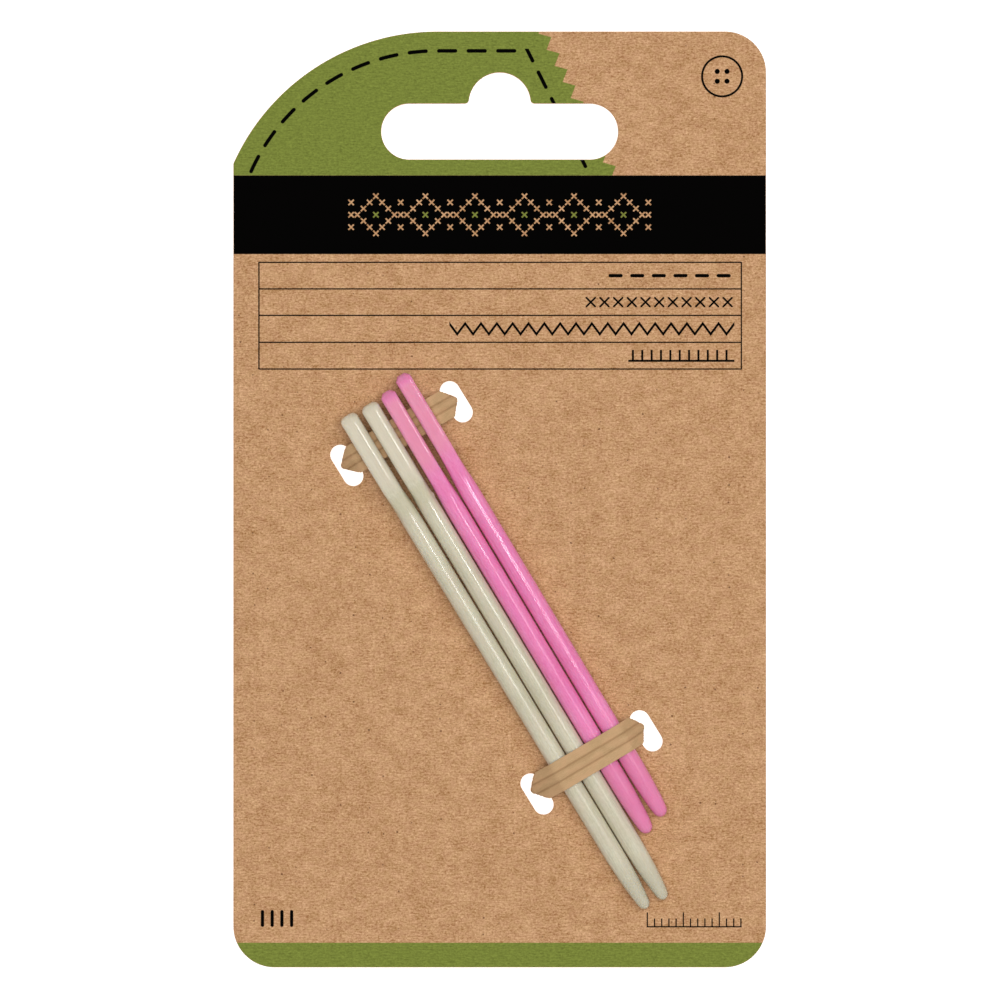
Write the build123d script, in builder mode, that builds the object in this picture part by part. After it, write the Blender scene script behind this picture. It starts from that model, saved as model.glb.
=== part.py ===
from build123d import *
import math
import os

# Carded set of four blunt plastic yarn needles on a hang card, held by two
# paper-covered wire ties. Millimetres. The card lies flat, printed face +Z,
# +Y towards the hang slot, +X to the printed face's right. z = 0 is the lowest
# point of the twisted tie ends behind the card.

os.makedirs("parts", exist_ok=True)

# ---- card ----------------------------------------------------------------
card_w = 74.0
card_h = 130.0
card_t = 0.5
corner_r = 5.7
curve_r = 31.0                    # large curve at the top left
curve_x, curve_y = -8.7, 34.0     # its centre, tangent to the top edge

slot_w, slot_h = 32.9, 7.75       # hang slot, full-radius ends
slot_y = 51.1
bump_r, bump_y = 4.3, 55.0        # round notch in the middle of its top
slot_fillet = 0.55

# ---- levels --------------------------------------------------------------
sheath_a = 0.575                  # covered wire, half width
sheath_b = 0.38                   # covered wire, half thickness
strand_gap = 0.05
twist_z = 2 * sheath_a + strand_gap / 2      # axis of the twisted ends
z_back = 2.50                     # back face of the card
z_face = z_back + card_t          # printed face

# ---- needle bundle frame ---------------------------------------------------
# s runs from the heads to the tips, t across the four needles.
bundle_x, bundle_y = -21.764, 11.444
ux, uy = 0.52467, -0.85131
vx, vy = 0.85131, 0.52467
slope_deg = math.degrees(math.atan2(uy, ux))

# ---- needles ---------------------------------------------------------------
rest_gap = 0.06                   # needle above the card
large_len, large_r = 80.0, 1.40
large_head_w, large_head_h = 2.60, 4.57
large_eye = (2.2, 12.8, 2.10)     # eye start, eye end, eye height
large_tip = [(70.7, 1.40), (75.0, 1.285), (77.4, 1.09), (79.1, 0.86), (79.8, 0.52), (80.0, 0.0)]
small_len, small_r = 71.2, 1.375
small_head_w, small_head_h = 2.25, 4.29
small_eye = (2.0, 12.0, 2.00)
small_tip = [(63.0, 1.375), (66.8, 1.28), (69.0, 1.15), (70.3, 0.98), (71.0, 0.58), (71.2, 0.0)]
paddle_flat = 11.0                # where the flat head starts to narrow

# head point (s, t) and drift of t per mm of s
large_left_at = (0.139, 0.659, -0.0063)
large_right_at = (0.382, 3.912, -0.0117)
small_left_at = (0.174, 6.970, -0.0148)
small_right_at = (-0.750, 9.900, -0.0148)

# ---- ties --------------------------------------------------------------------
strip_w = 4.15
strip_half = 0.13                 # outer face of a wing, from the middle of the strip
glue = 0.01
wire_r = 0.23
wire_channel = 0.24
bend_r = 1.0
twist_len = 9.0
twist_turns = 2.25

hole_len, hole_w = 6.25, 2.80
# tie centre (s, t), drift of s per mm of t, height of the strip's middle above
# the card, inner and outer points of the slopes, hole passage, wing corners
upper_tie = dict(s=5.944, t=5.472, drift=0.0136, z=2.42, a=(6.0, 6.9), h=(9.0, 8.95),
                 corner=(7.90, 7.35), tip=(9.42, 9.35), out=1)
lower_tie = dict(s=58.160, t=3.993, drift=0.0190, z=3.52, a=(5.9, 4.75), h=(8.75, 8.70),
                 corner=(7.77, 7.34), tip=(9.12, 9.08), out=-1)
hole_centres = [(6.44, 14.50), (5.99, -3.08), (59.20, 12.97), (58.72, -4.53)]


def at(s, t):
    """Point of the card plane from bundle coordinates."""
    return (bundle_x + s * ux + t * vx, bundle_y + s * uy + t * vy)


def export(builder, label):
    builder.part.label = label
    export_step(builder.part, f"parts/{label}.step")
    print(f"{label:26s} solids {len(builder.part.solids())} volume {builder.part.volume:9.3f}")


# ---- backing card -------------------------------------------------------------
hw, hh = card_w / 2, card_h / 2
curve_low = curve_y + math.sqrt(curve_r**2 - (hw + curve_x) ** 2)

with BuildPart() as backing_card:
    with BuildSketch(Plane.XY.offset(z_back)) as card_face:
        with BuildLine():
            Line((-hw + corner_r, -hh), (hw - corner_r, -hh))
            CenterArc((hw - corner_r, -hh + corner_r), corner_r, 270, 90)
            Line((hw, -hh + corner_r), (hw, hh - corner_r))
            CenterArc((hw - corner_r, hh - corner_r), corner_r, 0, 90)
            Line((hw - corner_r, hh), (curve_x, hh))
            a_end = math.degrees(math.atan2(curve_low - curve_y, -hw - curve_x))
            CenterArc((curve_x, curve_y), curve_r, 90, a_end - 90)
            Line((-hw, curve_low), (-hw, -hh + corner_r))
            CenterArc((-hw + corner_r, -hh + corner_r), corner_r, 180, 90)
        make_face()
        with Locations(*[at(s, t) for s, t in hole_centres]):
            SlotOverall(hole_len, hole_w, rotation=slope_deg, mode=Mode.SUBTRACT)
    extrude(amount=card_t)
    with BuildSketch(Plane.XY.offset(z_back)) as hang_slot:
        with Locations((0, slot_y)):
            SlotOverall(slot_w, slot_h)
        with Locations((0, bump_y)):
            Circle(bump_r)
        inner = [v for v in hang_slot.vertices() if abs(v.X) < bump_r + 0.5 and abs(v.Y - (slot_y + slot_h / 2)) < 0.2]
        fillet(inner, slot_fillet)
    extrude(amount=card_t, mode=Mode.SUBTRACT)
export(backing_card, "backing_card")


# ---- needles --------------------------------------------------------------------
def needle_planes(place, reach, radius, taper_from):
    """Side plane of a needle that rests on the card at its head and at the end
    of its shaft. reach is half the height of its head."""
    s0, t0, drift = place
    tilt = math.atan((reach - radius) / (taper_from - paddle_flat))
    x0, y0 = at(s0, t0)
    n = math.hypot(1, drift)
    dx, dy = (ux + drift * vx) / n, (uy + drift * vy) / n
    along = Vector(dx * math.cos(tilt), dy * math.cos(tilt), -math.sin(tilt))
    up = Vector(dx * math.sin(tilt), dy * math.sin(tilt), math.cos(tilt))
    z0 = z_face + rest_gap + reach * math.cos(tilt) + paddle_flat * math.sin(tilt)
    side = Plane(origin=(x0, y0, z0), x_dir=along, z_dir=along.cross(up))
    return side, along


def make_needle(place, length, radius, head_w, head_h, eye, tip, root_r, round_r, end_r):
    """Blunt needle: flat head with a long eye, round shaft, tapered tip."""
    half = head_h / 2
    plate, along = needle_planes(place, half, radius, tip[0][0])
    eye_from, eye_to, eye_h = eye
    with BuildPart() as needle:
        with BuildSketch(plate):
            with BuildLine():
                FilletPolyline((paddle_flat, -half), (0, -half), (0, half), (paddle_flat, half), radius=end_r)
                Polyline((paddle_flat, half), (19.5, 0.75), (19.5, -0.75), (paddle_flat, -half))
            make_face()
        extrude(amount=head_w / 2, both=True)
        flats = needle.faces().filter_by(Axis(plate.origin, plate.z_dir))
        fillet(flats.edges(), round_r)
        with BuildSketch(plate):
            with Locations(((eye_from + eye_to) / 2, 0)):
                SlotOverall(eye_to - eye_from, eye_h)
        extrude(amount=head_w, both=True, mode=Mode.SUBTRACT)
        flats = needle.faces().filter_by(Axis(plate.origin, plate.z_dir))
        rim = [e for f in flats for w in f.inner_wires() for e in w.edges()]
        fillet(rim, 0.3)
        with BuildSketch(plate):
            with BuildLine():
                Polyline((eye_to + 0.2, 0), (eye_to + 0.2, root_r), (eye_to + 6.0, radius), tip[0])
                Spline(*tip, tangents=((1, 0), (0, -1)))
                Line(tip[-1], (eye_to + 0.2, 0))
            make_face()
        revolve(axis=Axis(plate.origin, along), revolution_arc=360)
    return needle


large_needle_left = make_needle(large_left_at, large_len, large_r, large_head_w, large_head_h,
                                large_eye, large_tip, 1.2, 0.50, 1.5)
export(large_needle_left, "large_needle_left")
large_needle_right = make_needle(large_right_at, large_len, large_r, large_head_w, large_head_h,
                                 large_eye, large_tip, 1.2, 0.50, 1.5)
export(large_needle_right, "large_needle_right")
small_needle_left = make_needle(small_left_at, small_len, small_r, small_head_w, small_head_h,
                                small_eye, small_tip, 1.0, 0.40, 1.4)
export(small_needle_left, "small_needle_left")
small_needle_right = make_needle(small_right_at, small_len, small_r, small_head_w, small_head_h,
                                 small_eye, small_tip, 1.0, 0.40, 1.4)
export(small_needle_right, "small_needle_right")


# ---- ties -------------------------------------------------------------------------
def tie_frame(spec):
    """Origin at the tie's centre on z = 0, x along the strip, y along the needles."""
    x0, y0 = at(spec["s"], spec["t"])
    d = spec["drift"]
    n = math.hypot(1, d)
    along = Vector((vx + d * ux) / n, (vy + d * uy) / n, 0)
    return Plane(origin=(x0, y0, 0), x_dir=along, z_dir=(0, 0, 1))


def tie_route(spec):
    """Corners and radii of the strip's middle, in the tie's own x and z: behind
    the card, up through the right hole, over the front, down the left hole."""
    z = z_face + spec["z"]
    low = z_back - sheath_b - 0.02
    top = z_face + 0.25
    (ar, al), (hr, hl) = spec["a"], spec["h"]
    start = sheath_a + strand_gap / 2 + bend_r
    corners = [(start, twist_z), (start + 1.0, twist_z), (6.6, low), (hr, low), (hr, top), (ar, z),
               (-al, z), (-hl, top), (-hl, low), (-6.6, low), (-start - 1.0, twist_z), (-start, twist_z)]
    return corners, [2.0, 2.0, 0.62, 0.8, 1.2, 1.2, 0.8, 0.62, 2.0, 2.0]


def half_sheath(plane, outer):
    """One ply's share of the covered wire, outer half or inner half."""
    with BuildSketch(plane) as sk:
        Ellipse(sheath_a, sheath_b)
        keep = sheath_b if outer else -sheath_b
        with Locations((0, keep / 2 + (glue if outer else -glue))):
            Rectangle(4 * sheath_a, abs(keep), mode=Mode.INTERSECT)
        Circle(wire_channel, mode=Mode.SUBTRACT)
    return sk.sketch


def make_ply(spec, outer):
    frame = tie_frame(spec)
    # side plane: its x along the strip, its y up
    xz = Plane(origin=frame.origin, x_dir=frame.x_dir, z_dir=-frame.y_dir)
    corners, radii = tie_route(spec)
    sign = 1 if outer else -1
    with BuildLine(xz) as whole:
        FilletPolyline(*corners, radius=radii)
    (ar, al), (tr, tl), (cr, cl) = spec["a"], spec["tip"], spec["corner"]
    with BuildLine(xz) as front:
        low = corners[3][1] + 0.65
        FilletPolyline((corners[4][0], low), *corners[4:8], (corners[7][0], low), radius=radii[3:7])
    start = front.line @ 0
    heading = front.line % 0
    # at the strip's first point: x across it, y towards the loop's outside
    strip_plane = Plane(origin=start, x_dir=frame.y_dir, z_dir=heading)
    if strip_plane.y_dir.dot(Vector(frame.x_dir)) < 0:
        strip_plane = Plane(origin=start, x_dir=-frame.y_dir, z_dir=heading)
    with BuildPart() as ply:
        with BuildSketch(strip_plane):
            with Locations((0, sign * (glue + strip_half) / 2)):
                Rectangle(strip_w, strip_half - glue)
        sweep(path=front.line)
        with BuildSketch(frame):
            Polygon((cr, strip_w / 2), (-cl, strip_w / 2), (-tl, 0.35), (-tl, -0.35),
                    (-cl, -strip_w / 2), (cr, -strip_w / 2), (tr, -0.35), (tr, 0.35), align=None)
        extrude(amount=20, mode=Mode.INTERSECT)
        begin, first = whole.line @ 0, whole.line % 0
        section = Plane(origin=begin, x_dir=-frame.y_dir, z_dir=first)
        if section.y_dir.Z > 0:
            section = Plane(origin=begin, x_dir=frame.y_dir, z_dir=first)
        sweep(sections=half_sheath(section, outer), path=whole.line)
        with BuildSketch(section):
            Circle(wire_channel)
        sweep(path=whole.line, mode=Mode.SUBTRACT)
        for solid in twisted_ends(spec, frame, lambda plane: half_sheath(plane, outer)):
            add(solid)
    return ply


def twisted_ends(spec, frame, section_of):
    """The two ends behind the card: each turns from the strip's direction into
    the pair's, and the pair is twisted."""
    out = spec["out"]
    x1 = sheath_a + strand_gap / 2
    start = x1 + bend_r
    pieces = []
    for hand in (1, -1):
        origin = frame.from_local_coords((hand * start, 0, twist_z))
        face_plane = Plane(origin=origin, x_dir=frame.y_dir, z_dir=frame.x_dir)
        if face_plane.y_dir.Z > 0:
            face_plane = Plane(origin=origin, x_dir=-frame.y_dir, z_dir=frame.x_dir)
        pivot = Axis(frame.from_local_coords((hand * start, out * bend_r, twist_z)),
                     (0, 0, -hand * out))
        with BuildPart() as bend:
            add(section_of(face_plane))
            revolve(axis=pivot, revolution_arc=90)
        pieces.append(bend.part.solids()[0])
        end = frame.from_local_coords((hand * x1, out * bend_r, twist_z))
        pair_plane = Plane(origin=end, x_dir=frame.x_dir, z_dir=frame.y_dir)
        if pair_plane.y_dir.Z > 0:
            pair_plane = Plane(origin=end, x_dir=-frame.x_dir, z_dir=frame.y_dir)
        centre = frame.from_local_coords((0, out * bend_r, twist_z))
        face = section_of(pair_plane).faces()[0]
        pieces.append(Solid.extrude_linear_with_rotation(
            face, centre, Vector(frame.y_dir) * (out * twist_len), 360 * twist_turns))
    return pieces


def make_wire(spec):
    frame = tie_frame(spec)
    xz = Plane(origin=frame.origin, x_dir=frame.x_dir, z_dir=-frame.y_dir)
    corners, radii = tie_route(spec)
    with BuildLine(xz) as whole:
        FilletPolyline(*corners, radius=radii)

    def disc(plane):
        with BuildSketch(plane) as sk:
            Circle(wire_r)
        return sk.sketch

    with BuildPart() as wire:
        sweep(sections=disc(Plane(origin=whole.line @ 0, z_dir=whole.line % 0)), path=whole.line)
        for solid in twisted_ends(spec, frame, disc):
            add(solid)
    run = sum(e.length for e in whole.edges()) + math.pi * bend_r
    pair = 2 * math.hypot(twist_len, 2 * math.pi * twist_turns * (sheath_a + strand_gap / 2))
    print(f"wire length {run + pair:.2f} mm, section times length {math.pi * wire_r**2 * (run + pair):.3f}")
    return wire


upper_tie_front_ply = make_ply(upper_tie, True)
export(upper_tie_front_ply, "upper_tie_front_ply")
upper_tie_back_ply = make_ply(upper_tie, False)
export(upper_tie_back_ply, "upper_tie_back_ply")
upper_tie_wire = make_wire(upper_tie)
export(upper_tie_wire, "upper_tie_wire")

lower_tie_front_ply = make_ply(lower_tie, True)
export(lower_tie_front_ply, "lower_tie_front_ply")
lower_tie_back_ply = make_ply(lower_tie, False)
export(lower_tie_back_ply, "lower_tie_back_ply")
lower_tie_wire = make_wire(lower_tie)
export(lower_tie_wire, "lower_tie_wire")
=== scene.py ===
import math

import bpy
import numpy as np
from mathutils import Matrix, Vector, noise
from mathutils.geometry import tessellate_polygon


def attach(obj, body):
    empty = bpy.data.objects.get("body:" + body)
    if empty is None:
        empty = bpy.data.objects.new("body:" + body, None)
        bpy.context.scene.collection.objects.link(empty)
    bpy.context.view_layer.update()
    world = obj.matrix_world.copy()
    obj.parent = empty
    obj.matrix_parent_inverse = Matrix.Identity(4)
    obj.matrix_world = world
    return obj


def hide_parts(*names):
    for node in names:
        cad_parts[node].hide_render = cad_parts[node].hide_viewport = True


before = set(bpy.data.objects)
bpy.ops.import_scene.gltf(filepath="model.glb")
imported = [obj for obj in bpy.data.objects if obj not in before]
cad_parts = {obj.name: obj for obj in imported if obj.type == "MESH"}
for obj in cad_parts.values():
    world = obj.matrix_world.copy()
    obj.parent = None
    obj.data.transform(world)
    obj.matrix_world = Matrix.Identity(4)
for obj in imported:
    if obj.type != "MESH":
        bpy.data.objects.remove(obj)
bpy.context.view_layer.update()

# Four blunt plastic yarn needles on a kraft hang card, held by two flat
# paper-covered wire ties. Lengths in this file are millimetres unless named
# otherwise; meshes are written in metres.
MM = 0.001

# ---- sizes shared with the construction ------------------------------------------
card_w, card_h, card_t = 74.0, 130.0, 0.5
corner_r = 5.7
curve_r, curve_x, curve_y = 31.0, -8.7, 34.0
slot_w, slot_h, slot_y = 32.9, 7.75, 51.1
bump_r, bump_y, slot_fillet = 4.3, 55.0, 0.55
sheath_a, sheath_b, strand_gap = 0.575, 0.38, 0.05
twist_z = 2 * sheath_a + strand_gap / 2
z_back = 2.50
z_face = z_back + card_t
bundle_x, bundle_y = -21.764, 11.444
ux, uy = 0.52467, -0.85131
vx, vy = 0.85131, 0.52467
slope = math.atan2(uy, ux)
rest_gap = 0.06
paddle_flat = 11.0
strip_w, strip_half, glue = 4.15, 0.13, 0.01
wire_channel, bend_r = 0.24, 1.0
twist_len, twist_turns = 9.0, 2.25
hole_len, hole_w = 6.25, 2.80
hole_centres = [(6.44, 14.50), (5.99, -3.08), (59.20, 12.97), (58.72, -4.53)]

upper_tie = dict(s=5.944, t=5.472, drift=0.0136, z=2.42, a=(6.0, 6.9), h=(9.0, 8.95),
                 corner=(7.82, 7.38), tip=(9.42, 9.35), out=1, seed=3.1)
lower_tie = dict(s=58.160, t=3.993, drift=0.0190, z=3.52, a=(5.9, 4.75), h=(8.75, 8.70),
                 corner=(7.80, 7.36), tip=(9.12, 9.08), out=-1, seed=8.7)

large = dict(length=80.0, radius=1.40, reach=2.285, head_w=2.60, head_h=4.50, eye=(2.2, 12.8, 2.10), r_right=1.00, r_left=0.55,
             end_r=1.5, plan_r=0.83, chamfer=False, blend=(11.3, 18.0), taper_from=70.7,
             tip=[(70.7, 1.40), (73.0, 1.355), (75.0, 1.28), (77.4, 1.085), (79.1, 0.86)], cap=0.90)
small = dict(length=71.2, radius=1.375, reach=2.145, head_w=2.25, head_h=4.23, eye=(2.0, 12.0, 2.00), r_right=0.50, r_left=0.45,
             end_r=1.4, plan_r=0.60, chamfer=True, blend=(11.6, 20.0), taper_from=63.0,
             tip=[(63.0, 1.375), (65.0, 1.345), (66.8, 1.28), (69.0, 1.15), (70.3, 0.98)], cap=0.90)


def at(s, t):
    """Point of the card plane from bundle coordinates."""
    return (bundle_x + s * ux + t * vx, bundle_y + s * uy + t * vy)


def smoothstep(t):
    t = min(1.0, max(0.0, t))
    return t * t * (3 - 2 * t)


def lin(r, g, b, k=1.0):
    """Linear colour of an sRGB colour given in 0 to 255, scaled by k."""
    def one(c):
        c /= 255
        return (c / 12.92 if c <= 0.04045 else ((c + 0.055) / 1.055) ** 2.4) * k
    return (one(r), one(g), one(b), 1.0)


# ---- camera, light and stage -------------------------------------------------------
scene = bpy.context.scene
scene.view_settings.view_transform = "Standard"
scene.view_settings.look = "None"

camera = bpy.data.objects.new("camera", bpy.data.cameras.new("camera"))
camera.data.lens = 200
camera.data.sensor_width = 36
camera.data.clip_start, camera.data.clip_end = 0.01, 20
camera.location = (0.04 * MM, -0.08 * MM, z_face * MM + 0.7716)
scene.collection.objects.link(camera)
scene.camera = camera

world = bpy.data.worlds.new("studio")
world.use_nodes = True
world.node_tree.nodes["Background"].inputs["Color"].default_value = (1, 0.995, 0.985, 1)
world.node_tree.nodes["Background"].inputs["Strength"].default_value = 0.18
scene.world = world


def softbox(name, direction, distance, size, power, colour=(1, 1, 1)):
    light = bpy.data.lights.new(name, "AREA")
    light.shape = "SQUARE"
    light.size = size
    light.energy = power
    light.color = colour
    o = bpy.data.objects.new(name, light)
    d = Vector(direction).normalized()
    o.location = d * distance
    o.rotation_mode = "QUATERNION"
    o.rotation_quaternion = d.to_track_quat("Z", "Y")
    scene.collection.objects.link(o)
    return o


main = softbox("main", (0.0, 0.0, 1.0), 1.60, 1.05, 18.2)
main.visible_glossy = False          # it lights the card but leaves the shine to the key light
k30 = math.radians(30)
fill = softbox("fill", (vx * math.sin(k30), vy * math.sin(k30), math.cos(k30)), 1.20, 0.45, 2.8)
fill.visible_glossy = False
k26 = math.radians(26)
key = softbox("key", (vx * math.sin(k26), vy * math.sin(k26), math.cos(k26)), 1.20, 0.17, 2.0)
key.visible_diffuse = False          # the small light gives only the thin lines of shine


# ---- node trees ----------------------------------------------------------------------
class Num:
    """A number in a node tree, with ordinary arithmetic."""

    def __init__(self, tree, socket):
        self.tree, self.socket = tree, socket

    def __add__(self, o): return num(self.tree, "ADD", self, o)
    def __radd__(self, o): return num(self.tree, "ADD", o, self)
    def __sub__(self, o): return num(self.tree, "SUBTRACT", self, o)
    def __rsub__(self, o): return num(self.tree, "SUBTRACT", o, self)
    def __mul__(self, o): return num(self.tree, "MULTIPLY", self, o)
    def __rmul__(self, o): return num(self.tree, "MULTIPLY", o, self)
    def __truediv__(self, o): return num(self.tree, "DIVIDE", self, o)
    def __neg__(self): return num(self.tree, "MULTIPLY", self, -1.0)
    def __abs__(self): return num(self.tree, "ABSOLUTE", self)
    def floor(self): return num(self.tree, "FLOOR", self)
    def wrap(self, p): return num(self.tree, "FLOORED_MODULO", self, p)
    def low(self, o): return num(self.tree, "MINIMUM", self, o)
    def high(self, o): return num(self.tree, "MAXIMUM", self, o)
    def sqrt(self): return num(self.tree, "SQRT", self)
    def power(self, o): return num(self.tree, "POWER", self, o)


def num(tree, operation, *args, clamp=False):
    n = tree.nodes.new("ShaderNodeMath")
    n.operation = operation
    n.use_clamp = clamp
    for i, a in enumerate(args):
        if isinstance(a, Num):
            tree.links.new(a.socket, n.inputs[i])
        else:
            n.inputs[i].default_value = a
    return Num(tree, n.outputs[0])


def both(*masks):
    out = masks[0]
    for m in masks[1:]:
        out = out.low(m)
    return out


def either(*masks):
    out = masks[0]
    for m in masks[1:]:
        out = out.high(m)
    return out


def inside(d, soft=0.05):
    """1 where the distance d is below 0, over a soft edge."""
    return num(d.tree, "MULTIPLY_ADD", d, -1.0 / soft, 0.5, clamp=True)


def ramp(x, a, b):
    """0 below a and 1 above b, smooth between."""
    n = x.tree.nodes.new("ShaderNodeMapRange")
    n.interpolation_type = "SMOOTHSTEP"
    x.tree.links.new(x.socket, n.inputs["Value"])
    n.inputs["From Min"].default_value = a
    n.inputs["From Max"].default_value = b
    return Num(x.tree, n.outputs["Result"])


def vec(tree, x, y, z):
    n = tree.nodes.new("ShaderNodeCombineXYZ")
    for i, a in enumerate((x, y, z)):
        if isinstance(a, Num):
            tree.links.new(a.socket, n.inputs[i])
        else:
            n.inputs[i].default_value = a
    return n.outputs[0]


def split(tree, socket):
    n = tree.nodes.new("ShaderNodeSeparateXYZ")
    tree.links.new(socket, n.inputs[0])
    return [Num(tree, n.outputs[i]) for i in range(3)]


def coords_mm(tree):
    """Object coordinates in millimetres."""
    c = tree.nodes.new("ShaderNodeTexCoord")
    s = tree.nodes.new("ShaderNodeVectorMath")
    s.operation = "SCALE"
    s.inputs["Scale"].default_value = 1000.0
    tree.links.new(c.outputs["Object"], s.inputs[0])
    return split(tree, s.outputs[0])


def cloud(tree, x, y, z, detail=2.0, rough=0.5, distortion=0.0):
    """Noise of the given coordinates, about 0.5."""
    n = tree.nodes.new("ShaderNodeTexNoise")
    n.inputs["Scale"].default_value = 1.0
    n.inputs["Detail"].default_value = detail
    n.inputs["Roughness"].default_value = rough
    n.inputs["Distortion"].default_value = distortion
    tree.links.new(vec(tree, x, y, z), n.inputs["Vector"])
    return Num(tree, n.outputs[0])


def mix(tree, fac, a, b):
    n = tree.nodes.new("ShaderNodeMix")
    n.data_type = "RGBA"
    if isinstance(fac, Num):
        tree.links.new(fac.socket, n.inputs[0])
    else:
        n.inputs[0].default_value = fac
    for i, c in ((6, a), (7, b)):
        if isinstance(c, tuple):
            n.inputs[i].default_value = c
        else:
            tree.links.new(c, n.inputs[i])
    return n.outputs[2]


def scale_colour(tree, colour, k):
    """A colour times a number."""
    n = tree.nodes.new("ShaderNodeVectorMath")
    n.operation = "SCALE"
    if isinstance(colour, tuple):
        n.inputs[0].default_value = colour[:3]
    else:
        tree.links.new(colour, n.inputs[0])
    tree.links.new(k.socket, n.inputs["Scale"])
    return n.outputs[0]


def new_material(name):
    m = bpy.data.materials.new(name)
    m.use_nodes = True
    tree = m.node_tree
    return m, tree, tree.nodes["Principled BSDF"]


def wire(tree, value, socket):
    tree.links.new(value.socket if isinstance(value, Num) else value, socket)


def bump(tree, shader, height, distance_mm, strength=1.0):
    n = tree.nodes.new("ShaderNodeBump")
    n.inputs["Distance"].default_value = distance_mm * MM
    n.inputs["Strength"].default_value = strength
    wire(tree, height, n.inputs["Height"])
    tree.links.new(n.outputs["Normal"], shader.inputs["Normal"])


# Light falls on the card with this strength, so a surface's own colour is the
# colour it should show divided by it.
light_level = 1.04


def kraft(tree, x, y, z):
    """Colour and height of uncoated kraft board."""
    k = 1 / light_level
    fine = cloud(tree, x * 2.6, y * 3.7, z * 3.0, 2.0, 0.64)
    fibre = cloud(tree, x * 0.85 + fine * 0.5, y * 5.0, z * 2.0, 2.0, 0.6)
    speck = cloud(tree, x * 4.6 + 40.0, y * 5.4, z * 5.0, 1.0, 0.5)
    soft = cloud(tree, x * 0.52, y * 0.62 + 9.0, z * 0.5, 2.0, 0.55)
    hue = cloud(tree, x * 0.75 + 17.0, y * 0.95, z * 0.7, 2.0, 0.6)
    tone = (0.405 + (fine - 0.5) * 1.35 + (fibre - 0.5) * 0.80 + (speck - 0.5) * 0.80 + (soft - 0.5) * 0.55)
    base = mix(tree, num(tree, "ADD", tone, 0.0, clamp=True), lin(140, 91, 49, k), lin(255, 210, 165, k))
    tint = mix(tree, ramp(hue, 0.32, 0.68), lin(198, 151, 97, k), lin(208, 153, 112, k))
    base = mix(tree, 0.28, base, tint)
    # light and dark specks, and a few larger flecks of bark
    light = ramp(speck, 0.70, 0.80)
    base = mix(tree, light * 0.45, base, lin(240, 205, 170, k))
    dark = ramp(cloud(tree, x * 2.3 + 70.0, y * 3.4 + 20.0, z * 2.0, 2.0, 0.6), 0.69, 0.78)
    base = mix(tree, dark * 0.40, base, lin(140, 92, 56, k))
    v = tree.nodes.new("ShaderNodeTexVoronoi")
    v.voronoi_dimensions = "2D"
    v.inputs["Scale"].default_value = 1.0
    tree.links.new(vec(tree, x * 0.50, y * 0.50, z * 0.5), v.inputs["Vector"])
    pick = split(tree, v.outputs["Color"])
    size = pick[1] * pick[1] * 0.040 + 0.034
    wob = (cloud(tree, x * 5.0, y * 5.0, z, 1.0) - 0.5) * 0.05
    fleck = both(inside(Num(tree, v.outputs["Distance"]) + wob - size, 0.02), ramp(pick[0], 0.84, 0.85))
    base = mix(tree, fleck * 0.70, base, lin(88, 50, 26, k))
    height = fine * 0.6 + fibre * 0.5 + speck * 0.25
    return base, height


def capsule(x, y, half, r):
    """Distance to a level stroke of half length `half` and round ends."""
    dx = (abs(x) - half).high(0.0)
    return (dx * dx + y * y).sqrt() - r


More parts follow.
